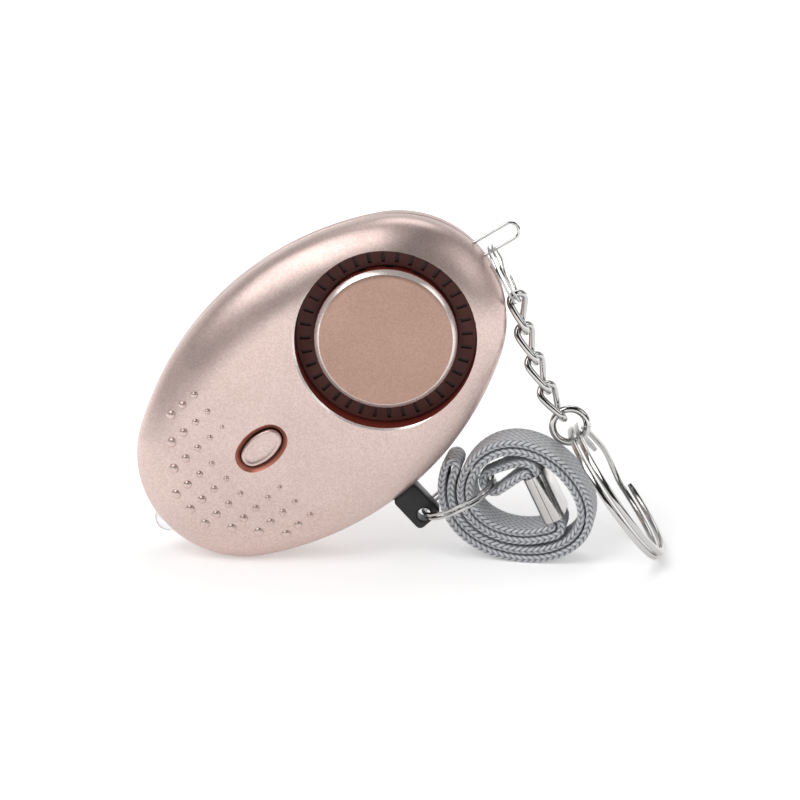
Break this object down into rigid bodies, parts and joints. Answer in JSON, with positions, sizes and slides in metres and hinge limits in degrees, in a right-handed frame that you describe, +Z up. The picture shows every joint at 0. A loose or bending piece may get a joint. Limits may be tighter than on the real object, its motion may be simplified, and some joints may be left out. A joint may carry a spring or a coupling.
{
  "type": "personal safety alarm",
  "caption": "Oval hand-held safety alarm standing on its edge, with siren cap, light button, lens, pull pin on a wound wrist strap, and a key ring on a twisted-link chain.",
  "frame": {"origin": "on the table below the middle of the object's length, at the parting plane of the case", "axes": "+X along the length towards the key ring, +Z up, front of the case towards -Y"},
  "size_m": [0.1136, 0.034, 0.0751],
  "materials": {
    "rose_shell": "satin metallic",
    "rose_cap": "satin metallic",
    "dark_plastic": "matte",
    "black_plastic": "satin",
    "brass": "bare",
    "board": "lacquered",
    "clear": "clear",
    "plated_steel": "plated",
    "bright_steel": "polished nickel",
    "braid": "herringbone braid"
  },
  "bodies": {
    "case": {"front_shell": "rose_shell", "rear_shell": "rose_shell", "battery_cover": "rose_shell", "battery_cover_screw": "plated_steel", "case_screws": "plated_steel", "siren_cap": "rose_cap", "siren_grille": "dark_plastic", "sound_chamber": "dark_plastic", "piezo_disc": "brass", "circuit_board": "board", "led": "clear", "led_lens": "clear", "button_switch": "dark_plastic", "alarm_contacts": "brass", "button_cells": "plated_steel", "battery_contact_positive": "plated_steel", "battery_contact_negative": "plated_steel", "bail": "bright_steel"},
    "button": {"led_button": "rose_cap"},
    "pin": {"pull_pin": "black_plastic"},
    "strap": {"pin_ring": "bright_steel", "strap_ring_loop": "braid", "strap_coil": "braid", "strap_ferrule": "bright_steel"},
    "small_ring": {"bail_ring": "bright_steel"},
    "link_1": {"chain_link_1": "bright_steel"},
    "link_2": {"chain_link_2": "bright_steel"},
    "link_3": {"chain_link_3": "bright_steel"},
    "link_4": {"chain_link_4": "bright_steel"},
    "jump": {"jump_ring": "bright_steel"},
    "keys": {"key_ring": "bright_steel"}
  },
  "joints": [
    {"name": "pin_pull", "type": "slide", "parent": "case", "child": "pin", "axis": [0.6691, 0, -0.7431], "range_m": [0, 0.013]},
    {"name": "pin_ring_swing", "type": "hinge", "parent": "pin", "child": "strap", "pos_m": [0.00448, 0, 0.00945], "axis": [0, 1, 0], "range_deg": [0, 25]},
    {"name": "button_press", "type": "slide", "parent": "case", "child": "button", "axis": [0, 1, 0], "range_m": [0, 0.0005], "stiffness_N_per_m": 600},
    {"name": "bail_ring_swing", "type": "hinge", "parent": "case", "child": "small_ring", "pos_m": [0.01843, 0, 0.06723], "axis": [0.8572, 0, 0.515], "range_deg": [-25, 25]},
    {"name": "link_1_swing", "type": "hinge", "parent": "small_ring", "child": "link_1", "pos_m": [0.02384, 0, 0.0566], "axis": [0, -1, 0], "range_deg": [0, 15]},
    {"name": "link_2_swing", "type": "hinge", "parent": "link_1", "child": "link_2", "pos_m": [0.02542, 0, 0.04979], "axis": [0.3807, -0.9205, 0.0879], "range_deg": [0, 15]},
    {"name": "link_3_swing", "type": "hinge", "parent": "link_2", "child": "link_3", "pos_m": [0.0277, 0, 0.04317], "axis": [0.3694, -0.9205, 0.1272], "range_deg": [0, 15]},
    {"name": "link_4_swing", "type": "hinge", "parent": "link_3", "child": "link_4", "pos_m": [0.03043, 0, 0.03672], "axis": [0.3597, -0.9205, 0.1527], "range_deg": [0, 15]},
    {"name": "jump_ring_swing", "type": "hinge", "parent": "link_4", "child": "jump", "pos_m": [0.03393, 0, 0.03066], "axis": [0.3384, -0.9205, 0.1954], "range_deg": [0, 15]},
    {"name": "key_ring_swing", "type": "hinge", "parent": "jump", "child": "keys", "pos_m": [0.03754, 0, 0.02621], "axis": [0.8121, 0, 0.5835], "range_deg": [-30, 30]}
  ]
}
